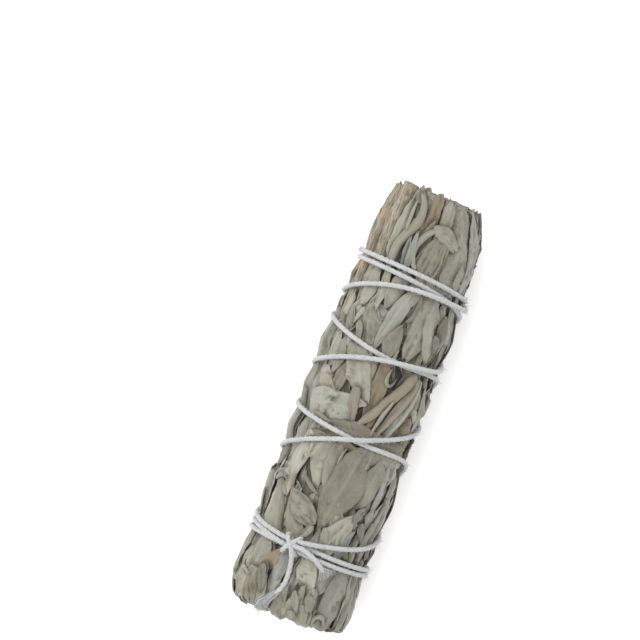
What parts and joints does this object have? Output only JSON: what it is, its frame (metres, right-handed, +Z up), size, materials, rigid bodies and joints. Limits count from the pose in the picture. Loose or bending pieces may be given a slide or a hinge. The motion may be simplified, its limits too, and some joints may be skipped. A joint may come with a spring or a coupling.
{
  "type": "sage smudge stick",
  "caption": "Short round bundle of dried leafy herb sprigs with woody stems, wound in crossing turns with white cotton string tied in a knot.",
  "frame": {"origin": "under the middle of the bundle, on the surface that it lies on", "axes": "+X along the bundle towards its cut stems, +Z up through the side that has the knot, +Y to the left of someone looking along +X"},
  "size_m": [0.1029, 0.0298, 0.0304],
  "materials": {
    "sage_leaf": "matt, velvety, dry grey-green leaf",
    "woody_stem": "dry bark, orange to grey-brown",
    "cotton_string": "plied white cotton, matt"
  },
  "bodies": {
    "root": {"sage_sprig_1": "sage_leaf", "sage_sprig_2": "sage_leaf", "sage_sprig_3": "sage_leaf", "sage_sprig_4": "sage_leaf", "sage_sprig_5": "sage_leaf", "sage_sprig_6": "sage_leaf", "sage_sprig_7": "sage_leaf", "woody_stem_1": "woody_stem", "woody_stem_2": "woody_stem", "woody_stem_3": "woody_stem", "woody_stem_4": "woody_stem", "woody_stem_5": "woody_stem", "woody_stem_6": "woody_stem", "woody_stem_7": "woody_stem", "woody_stem_8": "woody_stem", "cotton_string": "cotton_string"}
  },
  "joints": []
}
